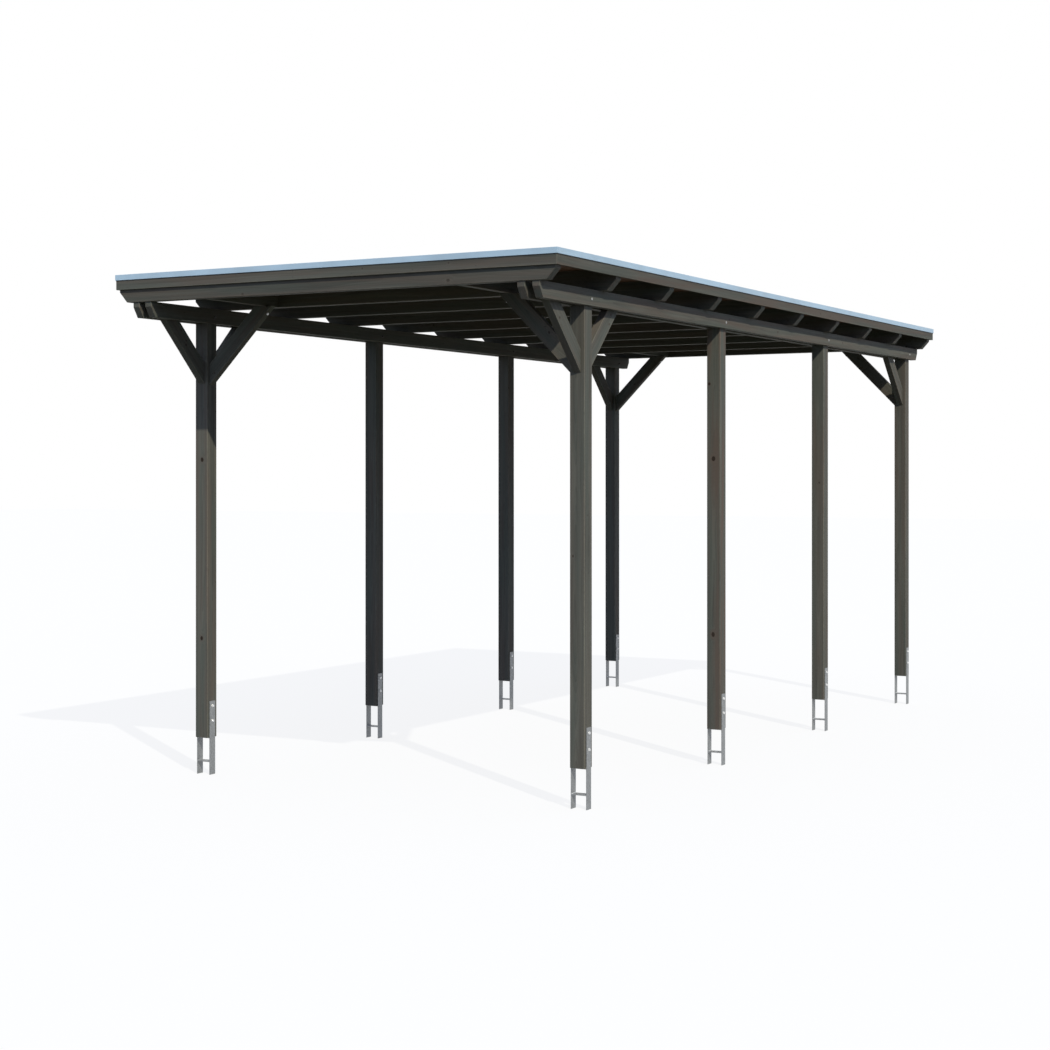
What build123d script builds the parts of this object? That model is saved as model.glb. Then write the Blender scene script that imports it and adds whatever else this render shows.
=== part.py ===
from build123d import *
import os

# An open timber carport: two rows of square posts stand in welded steel anchors,
# each row carries a twin beam, and the beams carry the rafters of a flat roof.
# Millimetres. X runs across the carport, Y runs from the front (-Y) to the back,
# Z points up. The origin is under the middle of the roof, level with the anchors' feet.

# Plan
roof_width = 3940
roof_length = 8640
side_overhang = 245
front_overhang = 830
rear_overhang = 340
posts_in_row = 4

# Post anchors
anchor_length = 600
anchor_fork_depth = 297
strap_width = 70
strap_thickness = 6
web_thickness = 6
crossbar_height = 103
crossbar_thickness = 8

# Timber sections
post_size = 120
tongue_thickness = 60
beam_thickness = 60
beam_depth = 120
brace_thickness = 60
brace_depth = 120
rafter_thickness = 80
rafter_depth = 160
rafter_count = 10
blocking_thickness = 60
blocking_depth = 120

# Heights and reaches
beam_underside = 3678
row_brace_foot_below_beam = 490
cross_brace_foot_below_beam = 499
brace_head_below_beam_top = 20
end_chamfer_run = 50
end_chamfer_rise = 80
rafter_chamfer_run = 72
rafter_chamfer_rise = 80
rear_rafter_gap = 47
beam_end_inset = 10

# Roof edge and covering
fascia_thickness = 20
fascia_depth = 115
fascia_drop = 60
trim_proud = 6
trim_thickness = 3
trim_face_depth = 43
trim_flange = 45
deck_thickness = 19
covering_thickness = 3

# Levels worked out from the values above
web_top = anchor_length - anchor_fork_depth
web_underside = web_top - web_thickness
beam_top = beam_underside + beam_depth
rafter_top = beam_top + rafter_depth
deck_top = rafter_top + deck_thickness
covering_top = deck_top + covering_thickness
fascia_underside = rafter_top - fascia_drop
fascia_top = fascia_underside + fascia_depth
trim_top = fascia_top + trim_thickness
trim_underside = trim_top - trim_face_depth
row_brace_foot = beam_underside - row_brace_foot_below_beam
cross_brace_foot = beam_underside - cross_brace_foot_below_beam
brace_slant = brace_depth * 2 ** 0.5

# Plan positions worked out from the values above
row_spacing = roof_width - 2 * side_overhang
half_post = post_size / 2
half_tongue = tongue_thickness / 2
fascia_outer_inset = trim_proud
fascia_inner_inset = fascia_outer_inset + fascia_thickness
half_frame_width = roof_width / 2 - fascia_inner_inset
half_frame_length = roof_length / 2 - fascia_inner_inset
first_post_y = -roof_length / 2 + front_overhang
post_spacing = (roof_length - front_overhang - rear_overhang) / (posts_in_row - 1)
post_rows = [first_post_y + i * post_spacing for i in range(posts_in_row)]
first_rafter_y = -half_frame_length + rafter_thickness / 2
last_rafter_y = half_frame_length - rear_rafter_gap - rafter_thickness / 2
rafter_spacing = (last_rafter_y - first_rafter_y) / (rafter_count - 1)
rafter_rows = [first_rafter_y + i * rafter_spacing for i in range(rafter_count)]
beam_front = first_rafter_y - rafter_thickness / 2 + beam_end_inset
beam_back = last_rafter_y + rafter_thickness / 2 - beam_end_inset
sides = {"left": -1, "right": 1}
ends = {"front": -1, "rear": 1}

os.makedirs("parts", exist_ok=True)


def save(part, name):
    part.label = name
    export_step(part, f"parts/{name}.step")


# Anchors: two flat straps, a web under the post and a crossbar near the foot
def make_anchors(side):
    row_x = sides[side] * row_spacing / 2
    outer_width = post_size + 2 * strap_thickness
    with BuildPart() as anchors:
        for post_y in post_rows:
            front_face = Plane(
                origin=(row_x, post_y - strap_width / 2, 0), x_dir=(1, 0, 0), z_dir=(0, -1, 0)
            )
            with BuildSketch(front_face):
                for strap_x in (-1, 1):
                    with Locations((strap_x * (post_size + strap_thickness) / 2, anchor_length / 2)):
                        Rectangle(strap_thickness, anchor_length)
                with Locations((0, web_underside + web_thickness / 2)):
                    Rectangle(outer_width, web_thickness)
                with Locations((0, crossbar_height + crossbar_thickness / 2)):
                    Rectangle(outer_width, crossbar_thickness)
            extrude(amount=-strap_width)
    return anchors.part


# Posts: square timber with a tongue that stands up between the twin beams
def make_post(side, post_y):
    row_x = sides[side] * row_spacing / 2
    front_face = Plane(origin=(row_x, post_y - half_post, 0), x_dir=(1, 0, 0), z_dir=(0, -1, 0))
    with BuildPart() as post:
        with BuildSketch(front_face):
            with BuildLine():
                Polyline(
                    (-half_post, web_top),
                    (half_post, web_top),
                    (half_post, beam_underside),
                    (half_tongue, beam_underside),
                    (half_tongue, beam_top),
                    (-half_tongue, beam_top),
                    (-half_tongue, beam_underside),
                    (-half_post, beam_underside),
                    close=True,
                )
            make_face()
        extrude(amount=-post_size)
    return post.part


# Twin beams: one board on each side of the tongues, lower end corners cut away
def make_beam(side, face):
    row_x = sides[side] * row_spacing / 2
    near_x = row_x + face * (half_tongue + beam_thickness / 2) - beam_thickness / 2
    side_view = Plane(origin=(near_x, 0, 0), x_dir=(0, 1, 0), z_dir=(1, 0, 0))
    with BuildPart() as beam:
        with BuildSketch(side_view):
            with BuildLine():
                Polyline(
                    (beam_front + end_chamfer_run, beam_underside),
                    (beam_back - end_chamfer_run, beam_underside),
                    (beam_back, beam_underside + end_chamfer_rise),
                    (beam_back, beam_top),
                    (beam_front, beam_top),
                    (beam_front, beam_underside + end_chamfer_rise),
                    close=True,
                )
            make_face()
        extrude(amount=beam_thickness)
    return beam.part


# Braces along the row: at 45 degrees from the post up between the twin beams
def make_row_brace(side, post_y, direction):
    row_x = sides[side] * row_spacing / 2
    head = beam_top - brace_head_below_beam_top
    side_view = Plane(
        origin=(row_x - brace_thickness / 2, post_y, 0), x_dir=(0, 1, 0), z_dir=(1, 0, 0)
    )
    reach = head - row_brace_foot
    with BuildPart() as brace:
        with BuildSketch(side_view):
            with BuildLine():
                Polyline(
                    (direction * half_post, row_brace_foot),
                    (direction * (half_post + reach), head),
                    (direction * (half_post + reach - brace_slant), head),
                    (direction * half_post, row_brace_foot + brace_slant),
                    close=True,
                )
            make_face()
        extrude(amount=brace_thickness)
    return brace.part


# Braces across the carport: from the post up to the blocking between two rafters
def make_cross_brace(side, post_y):
    inward = -sides[side]
    row_x = sides[side] * row_spacing / 2
    front_face = Plane(
        origin=(row_x, post_y - brace_thickness / 2, 0), x_dir=(1, 0, 0), z_dir=(0, -1, 0)
    )
    reach = beam_top - cross_brace_foot
    with BuildPart() as brace:
        with BuildSketch(front_face):
            with BuildLine():
                Polyline(
                    (inward * half_post, cross_brace_foot),
                    (inward * (half_post + reach), beam_top),
                    (inward * (half_post + reach - brace_slant), beam_top),
                    (inward * half_post, cross_brace_foot + brace_slant),
                    close=True,
                )
            make_face()
        extrude(amount=-brace_thickness)
    return brace.part


# Rafters: across the whole width, lower end corners cut away
def make_rafter(rafter_y):
    front_face = Plane(
        origin=(0, rafter_y - rafter_thickness / 2, 0), x_dir=(1, 0, 0), z_dir=(0, -1, 0)
    )
    with BuildPart() as rafter:
        with BuildSketch(front_face):
            with BuildLine():
                Polyline(
                    (-half_frame_width + rafter_chamfer_run, beam_top),
                    (half_frame_width - rafter_chamfer_run, beam_top),
                    (half_frame_width, beam_top + rafter_chamfer_rise),
                    (half_frame_width, rafter_top),
                    (-half_frame_width, rafter_top),
                    (-half_frame_width, beam_top + rafter_chamfer_rise),
                    close=True,
                )
            make_face()
        extrude(amount=-rafter_thickness)
    return rafter.part


# Blocking: a short timber over each cross brace, between two rafters
def make_blocking(end):
    if end == "front":
        pair = rafter_rows[:2]
    else:
        pair = rafter_rows[-2:]
    clear_length = rafter_spacing - rafter_thickness
    head_centre = row_spacing / 2 - half_post - (beam_top - cross_brace_foot) + brace_slant / 2
    with BuildPart() as blocking:
        with BuildSketch(Plane.XY.offset(beam_top)):
            with Locations((head_centre, sum(pair) / 2), (-head_centre, sum(pair) / 2)):
                Rectangle(blocking_thickness, clear_length)
        extrude(amount=blocking_depth)
    return blocking.part


# Corners of a strip along one roof edge, mitred at both ends
def mitred_strip(edge, outer_inset, inner_inset):
    outer_x = roof_width / 2 - outer_inset
    outer_y = roof_length / 2 - outer_inset
    inner_x = roof_width / 2 - inner_inset
    inner_y = roof_length / 2 - inner_inset
    if edge in ends:
        sign = ends[edge]
        return [
            (-outer_x, sign * outer_y),
            (outer_x, sign * outer_y),
            (inner_x, sign * inner_y),
            (-inner_x, sign * inner_y),
        ]
    sign = sides[edge]
    return [
        (sign * outer_x, -outer_y),
        (sign * outer_x, outer_y),
        (sign * inner_x, inner_y),
        (sign * inner_x, -inner_y),
    ]


# Fascia boards: mitred boards around the rafter ends
def make_fascia(edge):
    with BuildPart() as fascia:
        with BuildSketch(Plane.XY.offset(fascia_underside)):
            with BuildLine():
                Polyline(*mitred_strip(edge, fascia_outer_inset, fascia_inner_inset), close=True)
            make_face()
        extrude(amount=fascia_depth)
    return fascia.part


# Edge trim: folded metal over the fascia, with a face, a top flange and a small return
def make_trim(edges):
    with BuildPart() as trim:
        for edge in edges:
            plates = [
                (trim_underside, trim_thickness, fascia_outer_inset),
                (trim_underside, trim_face_depth, trim_thickness),
                (fascia_top, trim_thickness, trim_flange),
            ]
            for level, height, inner_inset in plates:
                with BuildSketch(Plane.XY.offset(level)):
                    with BuildLine():
                        Polyline(*mitred_strip(edge, 0, inner_inset), close=True)
                    make_face()
                extrude(amount=height)
    return trim.part


for side in sides:
    save(make_anchors(side), f"{side}_post_anchors")
    for number, post_y in enumerate(post_rows, start=1):
        save(make_post(side, post_y), f"{side}_post_{number}")
    save(make_beam(side, sides[side]), f"{side}_outer_beam")
    save(make_beam(side, -sides[side]), f"{side}_inner_beam")
    save(make_row_brace(side, post_rows[0], -1), f"{side}_front_brace_forward")
    save(make_row_brace(side, post_rows[0], 1), f"{side}_front_brace_back")
    save(make_row_brace(side, post_rows[-1], -1), f"{side}_rear_brace_forward")
    save(make_cross_brace(side, post_rows[0]), f"{side}_front_brace_across")
    save(make_cross_brace(side, post_rows[-1]), f"{side}_rear_brace_across")
    save(make_fascia(side), f"{side}_fascia")

for end in ends:
    save(make_blocking(end), f"{end}_blocking")
    save(make_fascia(end), f"{end}_fascia")

for number, rafter_y in enumerate(rafter_rows, start=1):
    save(make_rafter(rafter_y), f"rafter_{number:02d}")

save(make_trim(sides), "side_edge_trims")
save(make_trim(ends), "end_edge_trims")

# Roof deck: one layer of boards, modelled as a slab between the fascias
with BuildPart() as roof_deck:
    with BuildSketch(Plane.XY.offset(rafter_top)):
        Rectangle(2 * half_frame_width, 2 * half_frame_length)
    extrude(amount=deck_thickness)
save(roof_deck.part, "roof_deck")

# Roof covering: a thin sheet on the deck, turned up against the fascias
with BuildPart() as roof_covering:
    with BuildSketch(Plane.XY.offset(deck_top)):
        Rectangle(2 * half_frame_width, 2 * half_frame_length)
    extrude(amount=covering_thickness)
    with BuildSketch(Plane.XY.offset(covering_top)):
        Rectangle(2 * half_frame_width, 2 * half_frame_length)
        Rectangle(
            2 * (half_frame_width - covering_thickness),
            2 * (half_frame_length - covering_thickness),
            mode=Mode.SUBTRACT,
        )
    extrude(amount=fascia_top - covering_top)
save(roof_covering.part, "roof_covering")
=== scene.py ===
import math
import random

import bmesh
import bpy
from mathutils import Euler, Matrix, Vector


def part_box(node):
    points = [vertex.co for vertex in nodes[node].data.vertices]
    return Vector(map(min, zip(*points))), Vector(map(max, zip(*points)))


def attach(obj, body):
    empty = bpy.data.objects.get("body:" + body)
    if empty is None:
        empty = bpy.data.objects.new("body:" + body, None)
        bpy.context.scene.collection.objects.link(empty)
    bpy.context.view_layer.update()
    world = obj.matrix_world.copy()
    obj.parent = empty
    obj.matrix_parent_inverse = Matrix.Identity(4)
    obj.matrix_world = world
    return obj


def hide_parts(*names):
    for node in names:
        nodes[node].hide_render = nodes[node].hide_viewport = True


# The looks of an open timber carport: stained timber with its grain along each piece,
# galvanised post anchors, folded metal edge trim, roof boards, a sheet covering and the fixings.
# Metres. X runs across the carport, Y from the front (-Y) to the back, Z points up.

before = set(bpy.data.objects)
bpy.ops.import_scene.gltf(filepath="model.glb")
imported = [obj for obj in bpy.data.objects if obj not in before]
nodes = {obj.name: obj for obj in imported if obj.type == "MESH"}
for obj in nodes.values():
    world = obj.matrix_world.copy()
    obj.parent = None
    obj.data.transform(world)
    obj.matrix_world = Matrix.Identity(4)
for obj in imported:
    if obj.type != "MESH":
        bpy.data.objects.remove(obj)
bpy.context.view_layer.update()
scene = bpy.context.scene
scene.view_settings.view_transform = "Standard"

# Camera of the photograph
CAMERA_PLACE = (8.2262, -16.0749, 2.4431)
CAMERA_TURN = 28.976
CAMERA_LENS = 66.34
CAMERA_SENSOR = 36
CAMERA_SHIFT = -0.0476
CAMERA_REACH = 300

# Light: a soft sun from the right and front, a pale sky and a pale floor
SUN_FROM = (0.613, -0.475, 0.631)
SUN_STRENGTH = 2.85
SUN_COLOUR = (1.0, 0.95, 0.80)
SUN_ANGLE = 0.6
SKY_LIGHT = (0.43, 0.52, 0.73)
WHITE = (1.0, 1.0, 1.0)
FLOOR_BOUNCE = (0.082, 0.084, 0.050)
FLOOR_PAINT = (0.9, 0.9, 0.9)
FLOOR_GLOW_SHARE = 0.86
FLOOR_REACH = 90

# Colours, linear
TIMBER_LIGHT = (0.142, 0.140, 0.120)
TIMBER_DARK = (0.064, 0.063, 0.056)
TIMBER_WARM = (0.118, 0.094, 0.078)
TIMBER_COOL = (0.085, 0.098, 0.086)
TIMBER_KNOT = (0.018, 0.012, 0.008)
STAINED_KNOT = (0.052, 0.045, 0.038)
# How much paler the arrises are drawn: their painted highlight
ARRIS_HIGHLIGHT_TINT = (1.55, 1.5, 1.42)
BOARD_LIGHT = (0.205, 0.120, 0.075)
BOARD_DARK = (0.120, 0.062, 0.036)
BOARD_WARM = (0.160, 0.078, 0.042)
BOARD_KNOT = (0.045, 0.020, 0.010)
BOARD_SHADE = (0.55, 0.55, 0.6)
ZINC = (0.28, 0.292, 0.300)
FASTENER_ZINC = (0.84, 0.85, 0.86)
BEAM_BOLT_ZINC = (0.36, 0.37, 0.38)
# Weld beads: zinc drawn paler than the straps, a painted highlight where the beads meet the straps
WELD_HIGHLIGHT_ZINC = (0.50, 0.52, 0.54)
TRIM_COLOUR = (0.407, 0.560, 0.700)
TRIM_GRIME = (0.30, 0.34, 0.36)
COVERING_COLOUR = (0.045, 0.046, 0.048)
COVERING_DUST = (0.14, 0.135, 0.12)
STAINED_SCREW = (0.060, 0.058, 0.052)

# Grain patterns, as repeats in a metre: twice across the grain, then along it
WANDER_REPEATS = (2.2, 2.2, 0.75)
STREAK_REPEATS = (46.0, 46.0, 0.85)
BROAD_REPEATS = (11.0, 11.0, 0.55)
HUE_REPEATS = (15.0, 15.0, 0.9)
FIBRE_REPEATS = (620.0, 620.0, 9.0)

# Grain: year rings, their wander, knots and a painted highlight along the arrises
RINGS_PER_METRE = 210.0
RING_UNEVENNESS = 3.2
RING_CHANGES_PER_METRE = 60.0
AUTUMN_SHARPNESS = 2.6
WANDER_REACH = 0.055
SEED_STEPS = (3.17, 1.31, 7.73)
KNOT_SPACINGS = (1.0, 1.37, 1.83)
KNOT_RISE_SHARE = 0.74
KNOT_RING_LIFT = 0.9
KNOT_RING_FALL = -0.22
SMALLEST_KNOT = 0.0001
# The painted highlight along the arrises: its share, its width and its ragged edge
ARRIS_HIGHLIGHT_SHARE = 0.8
ARRIS_HIGHLIGHT_WIDTH = 0.0075
ARRIS_HIGHLIGHT_RAGGEDNESS = 0.010
COLOUR_INPUTS = ("Light", "Dark", "Warm", "Cool", "Knot Colour")
WOOD_SPECULAR = 0.12

# Grain of the roof boards: where the pith lies beside each board, its knots, and how much boards differ
BOARD_PITH_SPREAD = 0.12
BOARD_PITH_DEPTH = 0.02
BOARD_PITH_DEPTH_SPREAD = 0.09
BOARD_KNOT_TURNS = (-1.75, -1.35, -1.57)
BOARD_KNOT_TURN_SPREAD = 0.5
BOARD_KNOT_PERIOD = 1.9
BOARD_SHADE_SHARE = 0.45
BOARD_SEEDS = 60.0

# Metal and sheet: patterns in repeats in a metre, and the darkest and palest shades of each
SPANGLES_PER_METRE = 85.0
ZINC_SHADES = (0.72, 1.22)
ZINC_CONTRAST = 1.3
TRIM_LINE_REPEATS = (3.0, 3.0, 900.0)
TRIM_GRIME_REPEATS = (9.0, 9.0, 60.0)
TRIM_SHADES = (0.86, 1.10)
GRANULES_PER_METRE = 520.0
GRANULE_RELIEF = 0.0009
COVERING_WASH_REPEATS = (7.0, 0.8, 1.0)
COVERING_SHADES = (0.6, 1.9)

# Where a piece lies in its trunk, and its small knots
POST_PITH_REACH = 0.02
BOARD_PITH_SHIFTS = (-0.13, -0.06)
BOARD_HALF_THICKNESS = 0.05
KNOT_LEAN = 0.45
SMALL_KNOT_RADII = (0.004, 0.010)
KNOT_PERIODS = (3.8, 5.2)
SEEDS = (1, 60)

# Knots that show plainly, as (angle round the post, height from the post's middle, radius)
FRONT_FACE = -math.pi / 2
KNOTS_THAT_SHOW = {
    "left_post_1": [
        (FRONT_FACE - 0.28, 0.517, 0.014),
        (FRONT_FACE - 0.10, -0.938, 0.014),
        (FRONT_FACE + 2.3, 1.2, 0.010),
    ],
    "right_post_2": [
        (FRONT_FACE, 0.530, 0.016),
        (FRONT_FACE - 0.5, 1.160, 0.010),
        (FRONT_FACE - 0.06, -0.950, 0.016),
    ],
}

# Small knots that show on the face of a board, as (lean towards an edge, place from its middle, radius)
BOARD_KNOTS_THAT_SHOW = {"rafter_01": (0.236, 1.076, 0.011)}

# How much brown shows in the stain, and the pieces with more or less of it
USUAL_WARMTH = 0.5
WARM_PIECES = {
    "right_post_2": 1.0,
    "right_post_1": 0.2,
    "right_outer_beam": 0.6,
    "right_fascia": 0.8,
    "front_fascia": 0.6,
}

# Pieces drawn lighter or darker than the rest, and the chance difference of every piece. The front cross
# braces are drawn lighter as painted light, for more sky light on their shaded front faces.
STAIN_AND_PAINTED_LIGHT_TONES = {
    "left_post_1": 1.06,
    "rafter_01": 0.88,
    "right_fascia": 0.90,
    "left_front_brace_across": 1.25,
    "right_front_brace_across": 1.22,
    "right_front_brace_back": 1.12,
}
TONE_RANGE = (0.96, 1.04)

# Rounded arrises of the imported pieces
TIMBER_ARRIS = 0.003
FASCIA_ARRIS = 0.0015
STEEL_ARRIS = 0.0008
TRIM_ARRIS = 0.0012
ARRIS_ANGLE = 25
MERGE_DISTANCE = 0.00005

# Post anchors, as heights above their feet
STRAP_THICKNESS = 0.006
CROSSBAR_HEIGHT = 0.103
CROSSBAR_THICKNESS = 0.008
WEB_HEIGHT = 0.297

# Weld beads: their section goes round a corner, as shares of the bead's size
WELD_LENGTH = 0.066
WELD_SIZE = 0.0052
WELD_SECTION = ((0, 0), (1, 0), (0.72, 0.42), (0.42, 0.72), (0, 1))
WELD_STEPS = 22
WELD_RIPPLE = 0.0006
WELD_RIPPLE_TURN = 2.1
WELD_UNEVENNESS = 0.0003
WELD_END_SHARE = 0.6

# Fixings: places, and the size of each bolt, nut and screw
STRAP_BOLT_DROPS = (0.041, 0.162)
STRAP_BOLT_FLATS = 0.020
BEAM_BOLT_RADIUS = 0.011
BEAM_BOLT_DROP = 0.010
BEAM_NUT_FLATS = 0.019
BEAM_NUT_STUB = 0.006
BRACE_BOLT_FLATS = 0.017
BRACE_BOLT_REACH = 0.085
SCREW_RADIUS = 0.004
SCREW_EDGE = 0.020
SCREW_BELOW_TRIM = 0.012
SCREW_REACHES = (0.045, 0.085)
END_FASCIA_SCREWS = 8
END_FASCIA_MARGIN = 0.12
TRIM_SCREW_RADIUS = 0.0045
TRIM_SCREW_SINK = 0.0005
TRIM_SCREW_INSET = 0.030
TRIM_SCREW_MARGIN = 0.15
SIDE_TRIM_SCREWS = 14
END_TRIM_SCREWS = 7

# Forms of a bolt, as shares of its width across flats, and its washer
HEAD_HEIGHT_SHARE = 0.34
HEAD_EDGE_SHARE = 0.8
HEAD_TOP_SHARE = 0.86
WASHER_RADIUS_SHARE = 0.64
WASHER_TOP_SHARE = 0.96
WASHER_EDGE = 0.002
WASHER_THICKNESS = 0.0026
STUB_RADIUS_SHARE = 0.27
STUB_TIP_SHARE = 0.2
STUB_EDGE_SHARE = 0.7
STUB_SINK_SHARE = 0.9
STUB_SEGMENTS = 16

# Forms of a domed head and of a screw's head
ROUND_SEGMENTS = 24
SCREW_SEGMENTS = 12
DOME_RISE_SHARE = 0.42
DOME_EDGE = 0.0008
DOME_STEPS = (0.0, 0.35, 0.7, 1.05, 1.35)
SCREW_TOP_SHARE = 0.92
SCREW_RECESS_SHARES = (0.45, 0.4)
SCREW_EDGE_HEIGHT = 0.0008
SCREW_TOP_HEIGHT = 0.0010
SCREW_RECESS_HEIGHT = 0.0002

# Roof boards and covering
BOARD_WIDTH = 0.1215
BOARD_GROOVE = 0.004
BOARD_SIDE_GAP = 0.0002
BOARD_END_GAP = 0.0006
BOARD_JOINT_RAFTERS = ((3, 7), (1, 5))
COVERING_THICKNESS = 0.003
LAP_SPACING = 0.93
LAP_WIDTH = 0.09
LAP_HEIGHT = 0.0025
LAP_INSET = 0.004
LAP_BEAD = 0.003
LAP_TAPER = 0.040
# The covering's dark lip below the trim, which also paints the shadow line there: its drop and thickness
SHADOW_LINE_LIP = 0.006
SHADOW_LINE_LIP_THICKNESS = 0.002

SIDES = (("left", -1), ("right", 1))
ENDS = (("front", -1), ("rear", 1))

rng = random.Random(11)


# Shader helpers. Each value is a number, a vector, or a socket to link.
def node(tree, kind, inputs=None, **settings):
    made = tree.nodes.new(kind)
    for name, value in settings.items():
        setattr(made, name, value)
    for key, value in (inputs or {}).items():
        socket = made.inputs[key]
        if isinstance(value, bpy.types.NodeSocket):
            tree.links.new(value, socket)
        else:
            socket.default_value = value
    return made


def maths(tree, operation, *values, clamp=False):
    made = node(tree, "ShaderNodeMath", dict(enumerate(values)), operation=operation, use_clamp=clamp)
    return made.outputs[0]


def plus(tree, first, second):
    return maths(tree, "ADD", first, second)


def minus(tree, first, second):
    return maths(tree, "SUBTRACT", first, second)


def times(tree, first, second):
    return maths(tree, "MULTIPLY", first, second)


def weighted_sum(tree, *terms, clamp=False):
    """The sum of (value, weight) pairs, each value times its weight, held between 0 and 1 if clamped."""
    total = times(tree, *terms[0])
    for value, weight in terms[1:]:
        total = plus(tree, total, times(tree, value, weight))
    return maths(tree, "ADD", total, 0.0, clamp=True) if clamp else total


def vector_maths(tree, operation, *values):
    made = node(tree, "ShaderNodeVectorMath", dict(enumerate(values)), operation=operation)
    return made.outputs["Value" if operation == "LENGTH" else "Vector"]


def combine(tree, x, y, z):
    return node(tree, "ShaderNodeCombineXYZ", {"X": x, "Y": y, "Z": z}).outputs[0]


def separate(tree, vector):
    return node(tree, "ShaderNodeSeparateXYZ", {"Vector": vector}).outputs


def separate_colour(tree, colour):
    return node(tree, "ShaderNodeSeparateColor", {"Color": colour}).outputs


def smooth_step(tree, value, low, high):
    inputs = {"Value": value, "From Min": low, "From Max": high}
    return node(tree, "ShaderNodeMapRange", inputs, interpolation_type="SMOOTHSTEP").outputs["Result"]


def opaque(colour):
    """A colour with its alpha; a socket stays as it is."""
    return (*colour, 1) if isinstance(colour, tuple) else colour


def mix_colour(tree, factor, first, second, blend="MIX"):
    # The mix node has inputs for every kind of value: 0, 6 and 7 are the factor and the two colours
    inputs = {0: factor, 6: opaque(first), 7: opaque(second)}
    settings = {"data_type": "RGBA", "blend_type": blend, "clamp_factor": True}
    return node(tree, "ShaderNodeMix", inputs, **settings).outputs[2]


def noise(tree, vector, scale=1.0, detail=2.0, roughness=0.5, output="Fac"):
    inputs = {"Vector": vector, "Scale": scale, "Detail": detail, "Roughness": roughness}
    return node(tree, "ShaderNodeTexNoise", inputs).outputs[output]


def stretched_noise(tree, vector, repeats, **settings):
    return noise(tree, vector_maths(tree, "MULTIPLY", vector, repeats), **settings)


def cells(tree, vector, scale):
    return node(tree, "ShaderNodeTexVoronoi", {"Vector": vector, "Scale": scale}, feature="F1").outputs


def shade(colour, factor):
    return tuple(min(1.0, part * factor) for part in colour)


def mix_shades(tree, level, colour, shades):
    darkest, palest = shades
    return mix_colour(tree, level, shade(colour, darkest), shade(colour, palest))
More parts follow.
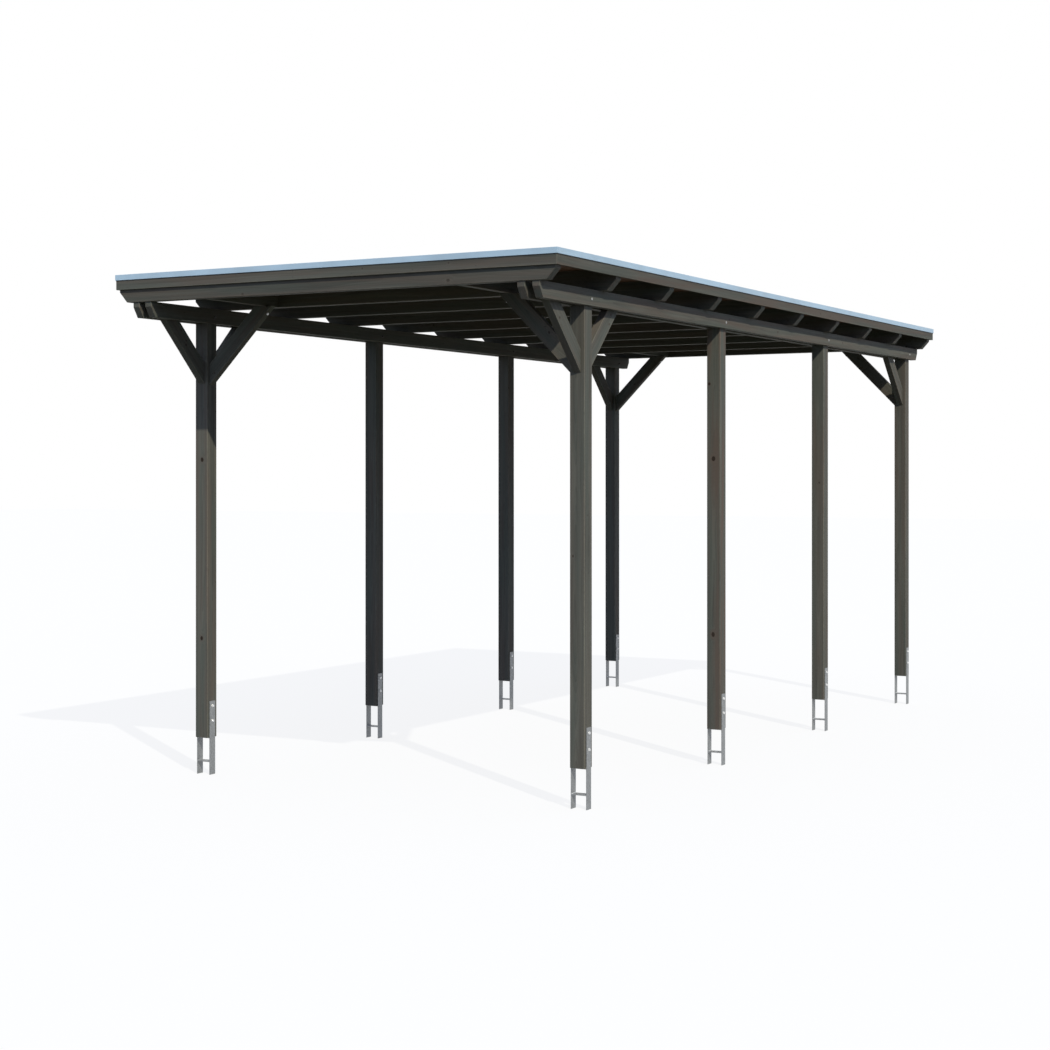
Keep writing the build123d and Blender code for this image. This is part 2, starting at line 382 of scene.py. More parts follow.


# Timber grain: a solid pattern of year rings round a pith, with fibres, knots and a painted highlight along
# the arrises.
# Its vector runs along the grain in Z and is centred on the piece.
def make_grain_group():
    tree = bpy.data.node_groups.new("timber_grain", "ShaderNodeTree")
    for kind, names in (
        ("NodeSocketVector", ("Vector", "Half", "Pith", "Knot 1", "Knot 2", "Knot 3")),
        ("NodeSocketFloat", ("Seed", "Period", "Arris Highlight", "Warmth")),
        ("NodeSocketColor", COLOUR_INPUTS),
    ):
        for name in names:
            tree.interface.new_socket(name, in_out="INPUT", socket_type=kind)
    for kind, names in (("NodeSocketColor", ("Color",)), ("NodeSocketFloat", ("Roughness", "Height"))):
        for name in names:
            tree.interface.new_socket(name, in_out="OUTPUT", socket_type=kind)

    given = tree.nodes.new("NodeGroupInput").outputs
    local = given["Vector"]
    seed_shift = combine(tree, *(times(tree, given["Seed"], step) for step in SEED_STEPS))
    shifted = vector_maths(tree, "ADD", local, seed_shift)

    # Slow wander of the grain, so that the rings open into long arches
    wander = stretched_noise(tree, shifted, WANDER_REPEATS, output="Color")
    wander = vector_maths(tree, "SUBTRACT", wander, (0.5, 0.5, 0.5))
    wander = vector_maths(tree, "MULTIPLY", wander, (WANDER_REACH, WANDER_REACH, 0.0))
    from_pith = vector_maths(tree, "SUBTRACT", local, given["Pith"])
    parts = separate(tree, vector_maths(tree, "ADD", from_pith, wander))
    radius = vector_maths(tree, "LENGTH", combine(tree, parts["X"], parts["Y"], 0.0))

    # Knots: branches that run straight out from the pith, at an angle and a height, every period.
    # The rings bend round them.
    knot_mask = 0.0
    ring_lift = 0.0
    for number, spacing in enumerate(KNOT_SPACINGS, 1):
        knot = separate(tree, given[f"Knot {number}"])
        cosine = maths(tree, "COSINE", knot["X"])
        sine = maths(tree, "SINE", knot["X"])
        along = plus(tree, times(tree, parts["X"], cosine), times(tree, parts["Y"], sine))
        aside = minus(tree, times(tree, parts["X"], sine), times(tree, parts["Y"], cosine))
        half_period = times(tree, given["Period"], 0.5 * spacing)
        rise = minus(tree, parts["Z"], knot["Y"])
        rise = maths(tree, "WRAP", rise, half_period, times(tree, half_period, -1.0))
        rise = times(tree, rise, KNOT_RISE_SHARE)
        distance = maths(tree, "SQRT", plus(tree, times(tree, aside, aside), times(tree, rise, rise)))
        behind = maths(tree, "LESS_THAN", along, 0.0)
        distance = plus(tree, distance, behind)
        share = maths(tree, "DIVIDE", distance, maths(tree, "MAXIMUM", knot["Z"], SMALLEST_KNOT))
        fall = maths(tree, "EXPONENT", times(tree, times(tree, share, share), KNOT_RING_FALL))
        knot_mask = maths(tree, "MAXIMUM", knot_mask, smooth_step(tree, share, 1.15, 0.75))
        ring_lift = plus(tree, ring_lift, times(tree, fall, times(tree, knot["Z"], KNOT_RING_LIFT)))

    # Year rings of uneven width, pale in spring and dark in autumn
    bent_radius = plus(tree, radius, ring_lift)
    ring_place = combine(tree, times(tree, bent_radius, RING_CHANGES_PER_METRE), given["Seed"], 0.0)
    uneven = noise(tree, ring_place, detail=1.0)
    turns = weighted_sum(tree, (bent_radius, RINGS_PER_METRE), (uneven, RING_UNEVENNESS))
    ring = maths(tree, "FRACT", turns)
    autumn = maths(tree, "POWER", ring, AUTUMN_SHARPNESS)
    autumn = times(tree, autumn, smooth_step(tree, ring, 1.0, 0.93))

    # Long streaks where the stain took more or less, and fine fibres
    streak_place = vector_maths(tree, "ADD", shifted, wander)
    streak = stretched_noise(tree, streak_place, STREAK_REPEATS, detail=3.0, roughness=0.6)
    broad = stretched_noise(tree, shifted, BROAD_REPEATS, roughness=0.55)
    hue = stretched_noise(tree, shifted, HUE_REPEATS)
    fibre = stretched_noise(tree, shifted, FIBRE_REPEATS, roughness=0.6)
    tone = weighted_sum(
        tree,
        (smooth_step(tree, streak, 0.3, 0.7), 0.36),
        (smooth_step(tree, broad, 0.32, 0.68), 0.30),
        (smooth_step(tree, uneven, 0.3, 0.7), 0.26),
        (fibre, 0.26),
        (autumn, -0.34),
        clamp=True,
    )
    colour = mix_colour(tree, tone, given["Dark"], given["Light"])
    warm = times(tree, smooth_step(tree, hue, 0.44, 0.66), given["Warmth"])
    cool = times(tree, smooth_step(tree, hue, 0.50, 0.32), 0.5)
    colour = mix_colour(tree, warm, colour, given["Warm"])
    colour = mix_colour(tree, cool, colour, given["Cool"])

    # Knots have a few faint rings inside and a warm halo outside
    halo = times(tree, smooth_step(tree, ring_lift, 0.0025, 0.0095), times(tree, given["Warmth"], 0.7))
    colour = mix_colour(tree, halo, colour, given["Warm"])
    knot_colour = mix_colour(tree, times(tree, ring, 0.18), given["Knot Colour"], given["Warm"])
    colour = mix_colour(tree, knot_mask, colour, knot_colour)

    # Arrises are drawn paler: a painted highlight along each edge. The middle one of the distances to the
    # three pairs of faces is the distance to an arris.
    gap = separate(tree, vector_maths(tree, "SUBTRACT", given["Half"], vector_maths(tree, "ABSOLUTE", local)))
    low = maths(tree, "MINIMUM", gap["X"], gap["Y"])
    high = maths(tree, "MAXIMUM", gap["X"], gap["Y"])
    arris = maths(tree, "MAXIMUM", low, maths(tree, "MINIMUM", high, gap["Z"]))
    ragged = minus(tree, noise(tree, shifted, scale=24.0, detail=3.0), 0.5)
    arris = weighted_sum(tree, (arris, 1.0), (ragged, ARRIS_HIGHLIGHT_RAGGEDNESS))
    arris_highlight = times(tree, smooth_step(tree, arris, ARRIS_HIGHLIGHT_WIDTH, 0.001), given["Arris Highlight"])
    colour = mix_colour(tree, arris_highlight, colour, mix_colour(tree, 1.0, colour, ARRIS_HIGHLIGHT_TINT, "MULTIPLY"))

    relief = ((autumn, 0.00022), (fibre, 0.00030), (streak, 0.00035), (knot_mask, -0.0006))
    node(tree, "NodeGroupOutput", {
        "Color": colour,
        "Roughness": weighted_sum(tree, (0.60, 1.0), (fibre, 0.22), (autumn, -0.06)),
        "Height": weighted_sum(tree, *relief),
    })
    return tree


grain_group = make_grain_group()


def add_grain(tree, settings, knots, colours):
    """The grain group with its settings; the colours are in the order of COLOUR_INPUTS."""
    inputs = dict(settings)
    inputs.update({f"Knot {number}": knot for number, knot in enumerate(knots, 1)})
    inputs.update({name: opaque(colour) for name, colour in zip(COLOUR_INPUTS, colours)})
    return node(tree, "ShaderNodeGroup", inputs, node_tree=grain_group).outputs


def new_material(name):
    material = bpy.data.materials.new(name)
    material.use_nodes = True
    tree = material.node_tree
    return material, tree, tree.nodes["Principled BSDF"]


def object_place(tree):
    return tree.nodes.new("ShaderNodeTexCoord").outputs["Object"]


def finish_shader(tree, shader, colour, roughness, height, metallic=0.0, specular=0.5):
    tree.links.new(colour, shader.inputs["Base Color"])
    tree.links.new(roughness, shader.inputs["Roughness"])
    shader.inputs["Metallic"].default_value = metallic
    shader.inputs["Specular IOR Level"].default_value = specular
    bump = node(tree, "ShaderNodeBump", {"Height": height, "Distance": 1.0, "Strength": 1.0})
    tree.links.new(bump.outputs[0], shader.inputs["Normal"])


# One timber material for each piece, with its grain turned along the piece
TURNS = {
    "up": (0, 0, 0),
    "along": (math.radians(90), 0, 0),
    "across": (0, math.radians(-90), 0),
    "slope_back": (math.radians(45), 0, 0),
    "slope_forward": (math.radians(-45), 0, 0),
    "slope_left": (0, math.radians(45), 0),
    "slope_right": (0, math.radians(-45), 0),
}


def timber(name, mesh, turn, knots, warmth, tone):
    rotation = Euler(TURNS[turn], "XYZ")
    matrix = rotation.to_matrix()
    points = [matrix @ vertex.co for vertex in mesh.vertices]
    lowest = Vector([min(point[i] for point in points) for i in range(3)])
    highest = Vector([max(point[i] for point in points) for i in range(3)])
    centre = (lowest + highest) / 2
    half = (highest - lowest) / 2

    # A post holds the pith; a board lies beside it, and its knots come straight through the wide faces
    reach = POST_PITH_REACH
    pith = Vector((rng.uniform(-reach, reach), rng.uniform(-reach, reach), 0))
    angles = [rng.uniform(-math.pi, math.pi) for _ in range(3)]
    if min(half.x, half.y) < BOARD_HALF_THICKNESS:
        turn_to_face = math.pi * rng.choice((0, 1)) + (0 if half.x < half.y else math.pi / 2)
        facing = Vector((math.cos(turn_to_face), math.sin(turn_to_face), 0))
        pith += facing * rng.uniform(*BOARD_PITH_SHIFTS)
        angles = [turn_to_face + rng.uniform(-KNOT_LEAN, KNOT_LEAN) for _ in range(3)]
    knot_colour = TIMBER_KNOT
    if knots is None:
        knot_colour = STAINED_KNOT
        knots = [(angle, rng.uniform(-half.z, half.z), rng.uniform(*SMALL_KNOT_RADII)) for angle in angles]
        if name in BOARD_KNOTS_THAT_SHOW:
            lean, place_along, knot_radius = BOARD_KNOTS_THAT_SHOW[name]
            knots[0] = (turn_to_face + lean, place_along, knot_radius)

    material, tree, shader = new_material(f"timber_{name}")
    mapping = {"Vector": object_place(tree), "Rotation": rotation, "Location": -centre}
    settings = {
        "Vector": node(tree, "ShaderNodeMapping", mapping).outputs[0],
        "Half": half,
        "Pith": pith,
        "Seed": rng.uniform(*SEEDS),
        "Period": rng.uniform(*KNOT_PERIODS),
        # Share of the painted highlight along the arrises
        "Arris Highlight": ARRIS_HIGHLIGHT_SHARE,
        "Warmth": warmth,
    }
    stains = (TIMBER_LIGHT, TIMBER_DARK, TIMBER_WARM, TIMBER_COOL)
    out = add_grain(tree, settings, knots, [shade(stain, tone) for stain in stains] + [knot_colour])
    finish_shader(tree, shader, out["Color"], out["Roughness"], out["Height"], specular=WOOD_SPECULAR)
    return material


# Zinc coat: faint spangle, dull patches and a slightly uneven skin
def zinc(name, colour, metallic, roughness, spangle):
    material, tree, shader = new_material(name)
    place = object_place(tree)
    grey = separate_colour(tree, cells(tree, place, SPANGLES_PER_METRE)["Color"])[0]
    patch = noise(tree, place, scale=14.0, detail=4.0, roughness=0.6)
    level = weighted_sum(tree, (grey, spangle), (patch, 0.50))
    level = maths(tree, "MULTIPLY", level, ZINC_CONTRAST, clamp=True)
    finish_shader(
        tree,
        shader,
        mix_shades(tree, level, colour, ZINC_SHADES),
        weighted_sum(tree, (roughness, 1.0), (patch, 0.18), (grey, 0.06)),
        weighted_sum(tree, (noise(tree, place, scale=120.0, detail=3.0), 0.00025), (grey, 0.00005)),
        metallic=metallic,
    )
    return material


# Edge trim: satin metal with rolling lines along it and a little dust
def trim_metal():
    material, tree, shader = new_material("edge_trim_metal")
    place = object_place(tree)
    lines = stretched_noise(tree, place, TRIM_LINE_REPEATS)
    dust = noise(tree, place, scale=2.3, detail=5.0, roughness=0.6)
    grime = stretched_noise(tree, place, TRIM_GRIME_REPEATS, detail=3.0)
    level = weighted_sum(tree, (lines, 0.35), (dust, 0.65))
    colour = mix_shades(tree, smooth_step(tree, level, 0.3, 0.7), TRIM_COLOUR, TRIM_SHADES)
    grime_share = times(tree, smooth_step(tree, grime, 0.60, 0.80), 0.25)
    finish_shader(
        tree,
        shader,
        mix_colour(tree, grime_share, colour, TRIM_GRIME),
        weighted_sum(tree, (0.34, 1.0), (dust, 0.2)),
        weighted_sum(tree, (lines, 0.00004), (dust, 0.0006)),
        metallic=0.35,
    )
    return material


# Roof boards: brown softwood, each board with its own tone, pith and knots
def board_wood(first_edge):
    material, tree, shader = new_material("roof_board_wood")
    place = separate(tree, object_place(tree))
    number = maths(tree, "DIVIDE", minus(tree, place["X"], first_edge), BOARD_WIDTH)
    number = maths(tree, "FLOOR", number)
    middle = plus(tree, times(tree, plus(tree, number, 0.5), BOARD_WIDTH), first_edge)
    chance = node(tree, "ShaderNodeTexWhiteNoise", {"W": number}, noise_dimensions="1D").outputs
    chances = separate_colour(tree, chance["Color"])
    depth = minus(tree, place["Z"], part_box("roof_deck")[0].z)
    pith_aside = times(tree, minus(tree, chances[0], 0.5), BOARD_PITH_SPREAD)
    pith_depth = weighted_sum(tree, (BOARD_PITH_DEPTH, 1.0), (chances[1], BOARD_PITH_DEPTH_SPREAD))
    knots = []
    for i, angle in enumerate(BOARD_KNOT_TURNS):
        turn = weighted_sum(tree, (angle, 1.0), (chances[i], BOARD_KNOT_TURN_SPREAD))
        knots.append(combine(tree, turn, times(tree, chances[2 - i], 2.0 + i), 0.006 + 0.002 * i))
    settings = {
        "Vector": combine(tree, minus(tree, place["X"], middle), depth, place["Y"]),
        "Half": (1.0, 1.0, 10.0),
        "Pith": combine(tree, pith_aside, pith_depth, 0.0),
        "Seed": times(tree, chance["Value"], BOARD_SEEDS),
        "Period": BOARD_KNOT_PERIOD,
        # The boards get no painted highlight along their arrises
        "Arris Highlight": 0.0,
        "Warmth": USUAL_WARMTH,
    }
    out = add_grain(tree, settings, knots, (BOARD_LIGHT, BOARD_DARK, BOARD_WARM, BOARD_DARK, BOARD_KNOT))
    shaded = mix_colour(tree, 1.0, out["Color"], BOARD_SHADE, "MULTIPLY")
    colour = mix_colour(tree, times(tree, chances[2], BOARD_SHADE_SHARE), out["Color"], shaded)
    finish_shader(tree, shader, colour, out["Roughness"], out["Height"], specular=WOOD_SPECULAR)
    return material


# Covering: dark sheet with a granule face, faint streaks of dust and worn patches
def covering_sheet():
    material, tree, shader = new_material("covering_sheet")
    place = object_place(tree)
    granules = cells(tree, place, GRANULES_PER_METRE)
    grey = separate_colour(tree, granules["Color"])[0]
    patch = noise(tree, place, scale=1.1, detail=5.0, roughness=0.6)
    wash = stretched_noise(tree, place, COVERING_WASH_REPEATS, detail=3.0)
    level = weighted_sum(tree, (grey, 0.5), (patch, 0.5))
    colour = mix_shades(tree, level, COVERING_COLOUR, COVERING_SHADES)
    dust_share = times(tree, smooth_step(tree, wash, 0.5, 0.8), 0.3)
    finish_shader(
        tree,
        shader,
        mix_colour(tree, dust_share, colour, COVERING_DUST),
        weighted_sum(tree, (0.72, 1.0), (patch, 0.2)),
        times(tree, granules["Distance"], GRANULE_RELIEF),
        specular=0.3,
    )
    return material


galvanised = zinc("galvanised_steel_coat", ZINC, metallic=0.55, roughness=0.38, spangle=0.40)
bright_zinc = zinc("fastener_zinc", FASTENER_ZINC, metallic=0.6, roughness=0.26, spangle=0.10)
# The weld beads are drawn in paler zinc as a painted highlight at the junctions
weld_zinc_highlight = zinc("weld_zinc_highlight", WELD_HIGHLIGHT_ZINC, metallic=0.4, roughness=0.32, spangle=0.2)
beam_bolt_zinc = zinc("beam_bolt_zinc", BEAM_BOLT_ZINC, metallic=0.5, roughness=0.35, spangle=0.15)
trim_finish = trim_metal()
screw_finish = zinc("stained_over_steel", STAINED_SCREW, metallic=0.0, roughness=0.55, spangle=0.3)
covering_finish = covering_sheet()


# Mesh helpers
def make_piece(name, mesh_maker, material, replaces=()):
    mesh = bpy.data.meshes.new(name)
    shape = bmesh.new()
    mesh_maker(shape)
    bmesh.ops.recalc_face_normals(shape, faces=shape.faces)
    shape.to_mesh(mesh)
    shape.free()
    mesh.materials.append(material)
    piece = bpy.data.objects.new(name, mesh)
    scene.collection.objects.link(piece)
    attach(piece, "root")
    if replaces:
        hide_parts(*replaces)


def join_rings(shape, first, second):
    """Faces between two closed rings of corners; either may be a single tip."""
    count = max(len(first), len(second))
    for i in range(count):
        j = (i + 1) % count
        if len(first) == 1:
            corners = (first[0], second[j], second[i])
        elif len(second) == 1:
            corners = (first[i], first[j], second[0])
        else:
            corners = (first[i], first[j], second[j], second[i])
        shape.faces.new(corners)


def add_turned(shape, profile, segments, place, direction, spin=0.0):
    """A turned form: the profile is (radius, height) pairs from the seat up to the tip, along direction."""
    matrix = Matrix.Translation(place) @ Vector(direction).to_track_quat("Z", "Y").to_matrix().to_4x4()
    rings = []
    for radius, height in profile:
        ring = []
        for i in range(segments if radius else 1):
            angle = spin + 2 * math.pi * i / segments
            point = Vector((radius * math.cos(angle), radius * math.sin(angle), height))
            ring.append(shape.verts.new(matrix @ point))
        rings.append(ring)
    for lower, upper in zip(rings, rings[1:]):
        join_rings(shape, lower, upper)


def add_prism(shape, outline, start, end):
    """A straight bar: the outline is points round the start, and its other end is round end."""
    shift = Vector(end) - Vector(start)
    corners = [Vector(start) + Vector(point) for point in outline]
    first = [shape.verts.new(corner) for corner in corners]
    last = [shape.verts.new(corner + shift) for corner in corners]
    shape.faces.new(first)
    shape.faces.new(list(reversed(last)))
    join_rings(shape, first, last)


def add_hex_bolt(shape, place, direction, flats, stub=0.0):
    corner = flats / math.sqrt(3)
    height = flats * HEAD_HEIGHT_SHARE
    washer = flats * WASHER_RADIUS_SHARE
    washer_profile = [
        (0, 0),
        (washer, 0),
        (washer, WASHER_EDGE),
        (washer * WASHER_TOP_SHARE, WASHER_THICKNESS),
        (0, WASHER_THICKNESS),
    ]
    add_turned(shape, washer_profile, ROUND_SEGMENTS, place, direction)
    seat = Vector(place) + Vector(direction) * WASHER_THICKNESS
    head_profile = [
        (0, 0),
        (corner, 0),
        (corner, height * HEAD_EDGE_SHARE),
        (corner * HEAD_TOP_SHARE, height),
        (0, height),
    ]
    add_turned(shape, head_profile, 6, seat, direction, rng.uniform(0, math.pi / 3))
    if stub:
        foot = seat + Vector(direction) * height * STUB_SINK_SHARE
        radius = flats * STUB_RADIUS_SHARE
        stub_profile = [
            (0, 0),
            (radius, 0),
            (radius, stub * STUB_EDGE_SHARE),
            (flats * STUB_TIP_SHARE, stub),
            (0, stub),
        ]
        add_turned(shape, stub_profile, STUB_SEGMENTS, foot, direction)


def add_dome(shape, place, direction, radius):
    rise = radius * DOME_RISE_SHARE
    profile = [(0, 0), (radius, 0)]
    profile += [(radius * math.cos(step), rise * math.sin(step) + DOME_EDGE) for step in DOME_STEPS]
    profile.append((0, rise + DOME_EDGE))
    add_turned(shape, profile, ROUND_SEGMENTS, place, direction)


def add_screw(shape, place, direction, radius):
    recess_top, recess_bottom = SCREW_RECESS_SHARES
    profile = [
        (0, 0),
        (radius, 0),
        (radius * SCREW_TOP_SHARE, SCREW_EDGE_HEIGHT),
        (radius * recess_top, SCREW_TOP_HEIGHT),
        (radius * recess_bottom, SCREW_RECESS_HEIGHT),
        (0, SCREW_RECESS_HEIGHT),
    ]
    add_turned(shape, profile, SCREW_SEGMENTS, place, direction)


def spread(low, high, margin, count):
    """Evenly spaced places between low and high, the outer ones a margin away from them."""
    return [low + margin + i * (high - low - 2 * margin) / (count - 1) for i in range(count)]


def outer(low, high, sign):
    """The one of two values that lies further the way sign points."""
    return high if sign > 0 else low


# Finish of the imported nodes
def dress(piece, material):
    piece.data.materials.clear()
    piece.data.materials.append(material)


def soften(piece, width, segments=2):
    weld = piece.modifiers.new("weld", "WELD")
    weld.merge_threshold = MERGE_DISTANCE
    bevel = piece.modifiers.new("bevel", "BEVEL")
    bevel.width = width
    bevel.segments = segments
    bevel.limit_method = "ANGLE"
    bevel.angle_limit = math.radians(ARRIS_ANGLE)
    bevel.harden_normals = False


def grain_turn(name):
    side_slope = "slope_left" if name.startswith("right") else "slope_right"
    for word, turn in (
        ("post", "up"),
        ("beam", "along"),
        ("brace_forward", "slope_forward"),
        ("brace_back", "slope_back"),
        ("brace_across", side_slope),
        ("rafter", "across"),
        ("blocking", "along"),
    ):
        if word in name:
            return turn
    return "across" if name in ("front_fascia", "rear_fascia") else "along"


def finish_timber(name):
    piece = nodes[name]
    # Painted light on the front cross braces, a lighter or darker tone on some other pieces, and a chance
    # difference on every piece
    tone = STAIN_AND_PAINTED_LIGHT_TONES.get(name, 1.0) * rng.uniform(*TONE_RANGE)
    warmth = WARM_PIECES.get(name, USUAL_WARMTH)
    knots = KNOTS_THAT_SHOW.get(name)
    dress(piece, timber(name, piece.data, grain_turn(name), knots, warmth, tone))
    soften(piece, FASCIA_ARRIS if "fascia" in name else TIMBER_ARRIS)


for name in sorted(nodes):
    if name.endswith("anchors"):
        dress(nodes[name], galvanised)
        soften(nodes[name], STEEL_ARRIS, 1)
    elif name.endswith("trims"):
        dress(nodes[name], trim_finish)
        soften(nodes[name], TRIM_ARRIS)
    elif name == "roof_covering":
        dress(nodes[name], covering_finish)
    elif name != "roof_deck":
        finish_timber(name)


# Places that the added pieces share
def middle_y(name):
    low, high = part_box(name)
    return (low.y + high.y) / 2


def row_of_posts(side):
    return sorted(name for name in nodes if f"{side}_post_" in name and not name.endswith("anchors"))


deck_low, deck_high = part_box("roof_deck")
cover_low, cover_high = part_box("roof_covering")
rafter_middles = [middle_y(name) for name in sorted(nodes) if name.startswith("rafter_")]
post_middles = {side: [middle_y(name) for name in row_of_posts(side)] for side, _ in SIDES}


# Roof boards: tongued boards along the roof, with V joints below and butt joints over rafters
def make_roof_boards(shape):
    low, high = deck_low.z, deck_high.z
    for i in range(math.ceil((deck_high.x - deck_low.x) / BOARD_WIDTH)):
        left = deck_low.x + i * BOARD_WIDTH
        right = min(left + BOARD_WIDTH, deck_high.x)
        outline = [
            (left + BOARD_GROOVE, 0, low),
            (right - BOARD_GROOVE, 0, low),
            (right - BOARD_SIDE_GAP, 0, low + BOARD_GROOVE),
            (right - BOARD_SIDE_GAP, 0, high),
            (left + BOARD_SIDE_GAP, 0, high),
            (left + BOARD_SIDE_GAP, 0, low + BOARD_GROOVE),
        ]
        over_rafters = [rafter_middles[row] for row in BOARD_JOINT_RAFTERS[i % 2]]
        joints = [deck_low.y, *over_rafters, deck_high.y]
        for start, end in zip(joints, joints[1:]):
            add_prism(shape, outline, (0, start + BOARD_END_GAP, 0), (0, end - BOARD_END_GAP, 0))


make_piece("roof_boards", make_roof_boards, board_wood(deck_low.x), ("roof_deck",))


# Laps of the covering: each sheet's upper edge lies on the next, with a thin welded bead
def make_laps(shape):
    bottom = deck_high.z + COVERING_THICKNESS
    top = bottom + LAP_HEIGHT
    length = cover_high.y - cover_low.y
    count = int(length / LAP_SPACING)
    for i in range(1, count + 1):
        middle = cover_low.y + i * length / (count + 1)
        start = middle - LAP_WIDTH / 2
        end = middle + LAP_WIDTH / 2
        outline = [
            (0, start, bottom),
            (0, end, bottom),
            (0, end - LAP_BEAD, top),
            (0, start + LAP_TAPER, top),
        ]
        add_prism(shape, outline, (cover_low.x + LAP_INSET, 0, 0), (cover_high.x - LAP_INSET, 0, 0))


make_piece("covering_laps", make_laps, covering_finish)


# Covering edge: the sheet is folded down over the fascias, and its dark lip shows below the trim, where it is
# also the painted shadow line under the trim
def make_covering_lip_and_shadow_line(shape):
    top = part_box("side_edge_trims")[0].z
    low = top - SHADOW_LINE_LIP
    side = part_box("right_fascia")[1].x
    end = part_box("rear_fascia")[1].y
    rings = []
    for grow, z in ((0, top), (SHADOW_LINE_LIP_THICKNESS, top), (SHADOW_LINE_LIP_THICKNESS, low), (0, low)):
        x = side + grow
        y = end + grow
        corners = ((-x, -y, z), (x, -y, z), (x, y, z), (-x, y, z))
        rings.append([shape.verts.new(corner) for corner in corners])
    for first, second in zip(rings, rings[1:] + rings[:1]):
        join_rings(shape, first, second)


make_piece("covering_lip_and_shadow_line", make_covering_lip_and_shadow_line, covering_finish)


# Anchor bolts: two through each strap, with a hexagon on each side of the post
def make_anchor_bolts(side):
    strap_low, strap_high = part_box(f"{side}_post_anchors")

    def build(shape):
        for y in post_middles[side]:
            for drop in STRAP_BOLT_DROPS:
                z = strap_high.z - drop
                add_hex_bolt(shape, (strap_high.x, y, z), (1, 0, 0), STRAP_BOLT_FLATS)
                add_hex_bolt(shape, (strap_low.x, y, z), (-1, 0, 0), STRAP_BOLT_FLATS)
    return build


for side, _ in SIDES:
    make_piece(f"{side}_anchor_bolts", make_anchor_bolts(side), bright_zinc)


# Beam bolts: a domed head on the outer beam and a nut on the inner beam, at each post
def beam_bolt_places(beam, outward):
    for side, sign in SIDES:
        low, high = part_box(f"{side}_{beam}_beam")
        direction = sign * outward
        x = outer(low.x, high.x, direction)
        z = (low.z + high.z) / 2 - BEAM_BOLT_DROP
        for y in post_middles[side]:
            yield (x, y, z), (direction, 0, 0)


def make_beam_bolts(shape):
    for place, direction in beam_bolt_places("outer", 1):
        add_dome(shape, place, direction, BEAM_BOLT_RADIUS)


def make_beam_nuts(shape):
    for place, direction in beam_bolt_places("inner", -1):
        add_hex_bolt(shape, place, direction, BEAM_NUT_FLATS, BEAM_NUT_STUB)


make_piece("beam_bolts", make_beam_bolts, beam_bolt_zinc)
make_piece("beam_nuts", make_beam_nuts, screw_finish)


# Brace bolts: one through the head of each cross brace into the blocking
def make_brace_bolts(shape):
    for side, sign in SIDES:
        for end, _ in ENDS:
            low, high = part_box(f"{side}_{end}_brace_across")
            outward = Vector((-sign, 0, -1)).normalized()
            down_along = Vector((sign, 0, -1)).normalized()
            head = Vector((outer(low.x, high.x, -sign), (low.y + high.y) / 2, high.z))
            add_hex_bolt(shape, head + down_along * BRACE_BOLT_REACH, outward, BRACE_BOLT_FLATS)


make_piece("brace_bolts", make_brace_bolts, bright_zinc)


# Brace screws: two into the foot of each brace, stained over with the timber
def make_brace_screws(shape):
    for name in nodes:
        if "brace" not in name:
            continue
        low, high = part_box(name)
        centre = (low + high) / 2
        if "across" in name:
            away = Vector((-1 if name.startswith("right") else 1, 0, 0))
            foot = Vector((outer(low.x, high.x, -away.x), centre.y, low.z))
        else:
            away = Vector((0, -1 if "forward" in name else 1, 0))
            foot = Vector((centre.x, outer(low.y, high.y, -away.y), low.z))
        outward = (away - Vector((0, 0, 1))).normalized()
        up_along = (away + Vector((0, 0, 1))).normalized()
        for reach in SCREW_REACHES:
            add_screw(shape, foot + up_along * reach, outward, SCREW_RADIUS)


make_piece("brace_screws", make_brace_screws, screw_finish)


# Fascia screws: two into each rafter end, and pairs along the end fascias
def make_fascia_screws(shape):
    for side, sign in SIDES:
        low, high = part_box(f"{side}_fascia")
        x = outer(low.x, high.x, sign)
        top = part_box("side_edge_trims")[0].z - SCREW_BELOW_TRIM
        for y in rafter_middles:
            for z in (low.z + SCREW_EDGE, top):
                add_screw(shape, (x, y, z), (sign, 0, 0), SCREW_RADIUS)
    for end, sign in ENDS:
        low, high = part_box(f"{end}_fascia")
        y = outer(low.y, high.y, sign)
        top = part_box("end_edge_trims")[0].z - SCREW_BELOW_TRIM
        for x in spread(low.x, high.x, END_FASCIA_MARGIN, END_FASCIA_SCREWS):
            for z in (low.z + SCREW_EDGE, top):
                add_screw(shape, (x, y, z), (0, sign, 0), SCREW_RADIUS)


make_piece("fascia_screws", make_fascia_screws, screw_finish)


# Trim screws on the flange that lies on the fascias
def make_trim_screws(shape):
    low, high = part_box("side_edge_trims")
    z = high.z - TRIM_SCREW_SINK
    for x in (low.x + TRIM_SCREW_INSET, high.x - TRIM_SCREW_INSET):
        for y in spread(low.y, high.y, TRIM_SCREW_MARGIN, SIDE_TRIM_SCREWS):
            add_screw(shape, (x, y, z), (0, 0, 1), TRIM_SCREW_RADIUS)
    for y in (low.y + TRIM_SCREW_INSET, high.y - TRIM_SCREW_INSET):
        for x in spread(low.x, high.x, TRIM_SCREW_MARGIN, END_TRIM_SCREWS):
            add_screw(shape, (x, y, z), (0, 0, 1), TRIM_SCREW_RADIUS)


make_piece("trim_screws", make_trim_screws, bright_zinc)


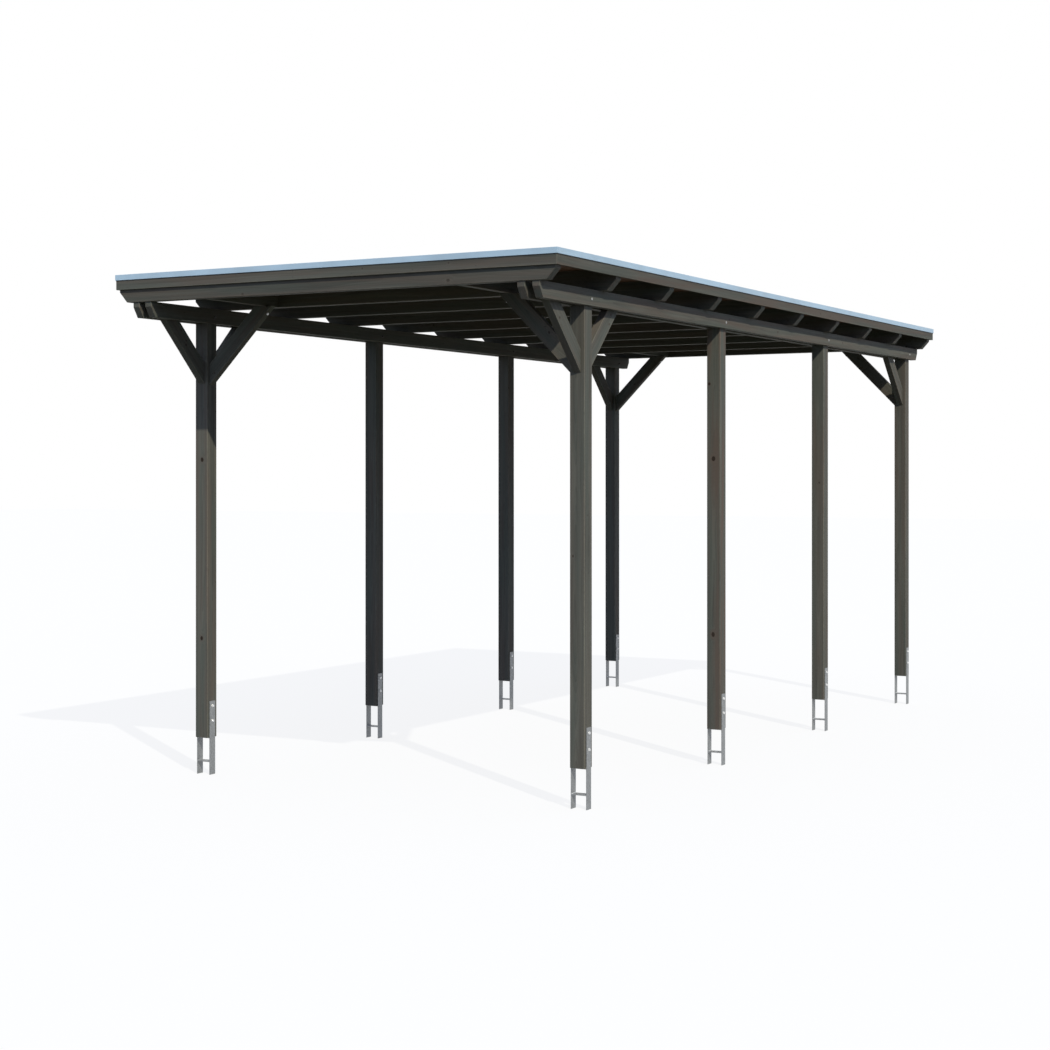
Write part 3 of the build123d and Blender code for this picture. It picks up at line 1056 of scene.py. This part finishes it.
# Weld beads: small rippled fillets where the crossbar and the web meet the straps
def add_weld(shape, x, y_middle, z, sign, rise):
    """A bead along Y in the corner at (x, z); sign and rise say which way it fills across and up."""
    rows = []
    for i in range(WELD_STEPS + 1):
        y = y_middle + WELD_LENGTH * (i / WELD_STEPS - 0.5)
        size = WELD_SIZE + WELD_RIPPLE * math.sin(i * WELD_RIPPLE_TURN)
        size += rng.uniform(-WELD_UNEVENNESS, WELD_UNEVENNESS)
        if i in (0, WELD_STEPS):
            size *= WELD_END_SHARE
        points = [(x + sign * size * reach, y, z + rise * size * lift) for reach, lift in WELD_SECTION]
        rows.append([shape.verts.new(point) for point in points])
    for first, second in zip(rows, rows[1:]):
        join_rings(shape, first, second)
    shape.faces.new(rows[0])
    shape.faces.new(list(reversed(rows[-1])))


def make_welds(side):
    strap_low, strap_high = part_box(f"{side}_post_anchors")
    inner_faces = ((strap_low.x + STRAP_THICKNESS, 1), (strap_high.x - STRAP_THICKNESS, -1))
    crossbar_top = CROSSBAR_HEIGHT + CROSSBAR_THICKNESS

    def build(shape):
        for y in post_middles[side]:
            for x, sign in inner_faces:
                for z, rise in ((crossbar_top, 1), (CROSSBAR_HEIGHT, -1), (WEB_HEIGHT, -1)):
                    add_weld(shape, x, y, z, sign, rise)
    return build


# The beads' paler zinc is a painted highlight where the crossbar and web meet the straps
for side, _ in SIDES:
    make_piece(f"{side}_anchor_welds", make_welds(side), weld_zinc_highlight)


# Floor, sky and sun. Camera, mirror and glass rays see white; other rays see plain light.
def seen_directly(tree):
    rays = tree.nodes.new("ShaderNodeLightPath").outputs
    seen = plus(tree, rays["Is Camera Ray"], rays["Is Glossy Ray"])
    return maths(tree, "ADD", seen, rays["Is Transmission Ray"], clamp=True)


def mix_shaders(tree, factor, first, second):
    made = node(tree, "ShaderNodeMixShader", {"Fac": factor})
    tree.links.new(first.outputs[0], made.inputs[1])
    tree.links.new(second.outputs[0], made.inputs[2])
    return made


world = bpy.data.worlds.new("pale_sky")
scene.world = world
world.use_nodes = True
sky = world.node_tree
for old in list(sky.nodes):
    sky.nodes.remove(old)
sky_colour = mix_colour(sky, seen_directly(sky), SKY_LIGHT, WHITE)
background = node(sky, "ShaderNodeBackground", {"Color": sky_colour, "Strength": 1.0})
node(sky, "ShaderNodeOutputWorld", {"Surface": background.outputs[0]})

floor_material, tree, shader = new_material("pale_floor")
tree.nodes.remove(shader)
paint = node(tree, "ShaderNodeBsdfDiffuse", {"Color": opaque(FLOOR_PAINT)})
glow = node(tree, "ShaderNodeEmission", {"Color": opaque(WHITE), "Strength": 1.0})
bounce = node(tree, "ShaderNodeBsdfDiffuse", {"Color": opaque(FLOOR_BOUNCE)})
pale = mix_shaders(tree, FLOOR_GLOW_SHARE, paint, glow)
both = mix_shaders(tree, seen_directly(tree), bounce, pale)
tree.links.new(both.outputs[0], tree.nodes["Material Output"].inputs["Surface"])

floor_mesh = bpy.data.meshes.new("floor")
floor_shape = bmesh.new()
bmesh.ops.create_grid(floor_shape, x_segments=1, y_segments=1, size=FLOOR_REACH)
floor_shape.to_mesh(floor_mesh)
floor_shape.free()
floor_mesh.materials.append(floor_material)
floor = bpy.data.objects.new("floor", floor_mesh)
scene.collection.objects.link(floor)

sun_data = bpy.data.lights.new("sun", "SUN")
sun_data.energy = SUN_STRENGTH
sun_data.color = SUN_COLOUR
sun_data.angle = math.radians(SUN_ANGLE)
sun = bpy.data.objects.new("sun", sun_data)
scene.collection.objects.link(sun)
sun.rotation_euler = Vector(SUN_FROM).to_track_quat("Z", "Y").to_euler()

camera_data = bpy.data.cameras.new("camera")
camera = bpy.data.objects.new("camera", camera_data)
scene.collection.objects.link(camera)
camera_data.sensor_width = CAMERA_SENSOR
camera_data.lens = CAMERA_LENS
camera_data.shift_y = CAMERA_SHIFT
camera_data.clip_end = CAMERA_REACH
camera.location = CAMERA_PLACE
camera.rotation_euler = (math.radians(90), 0, math.radians(CAMERA_TURN))
scene.camera = camera
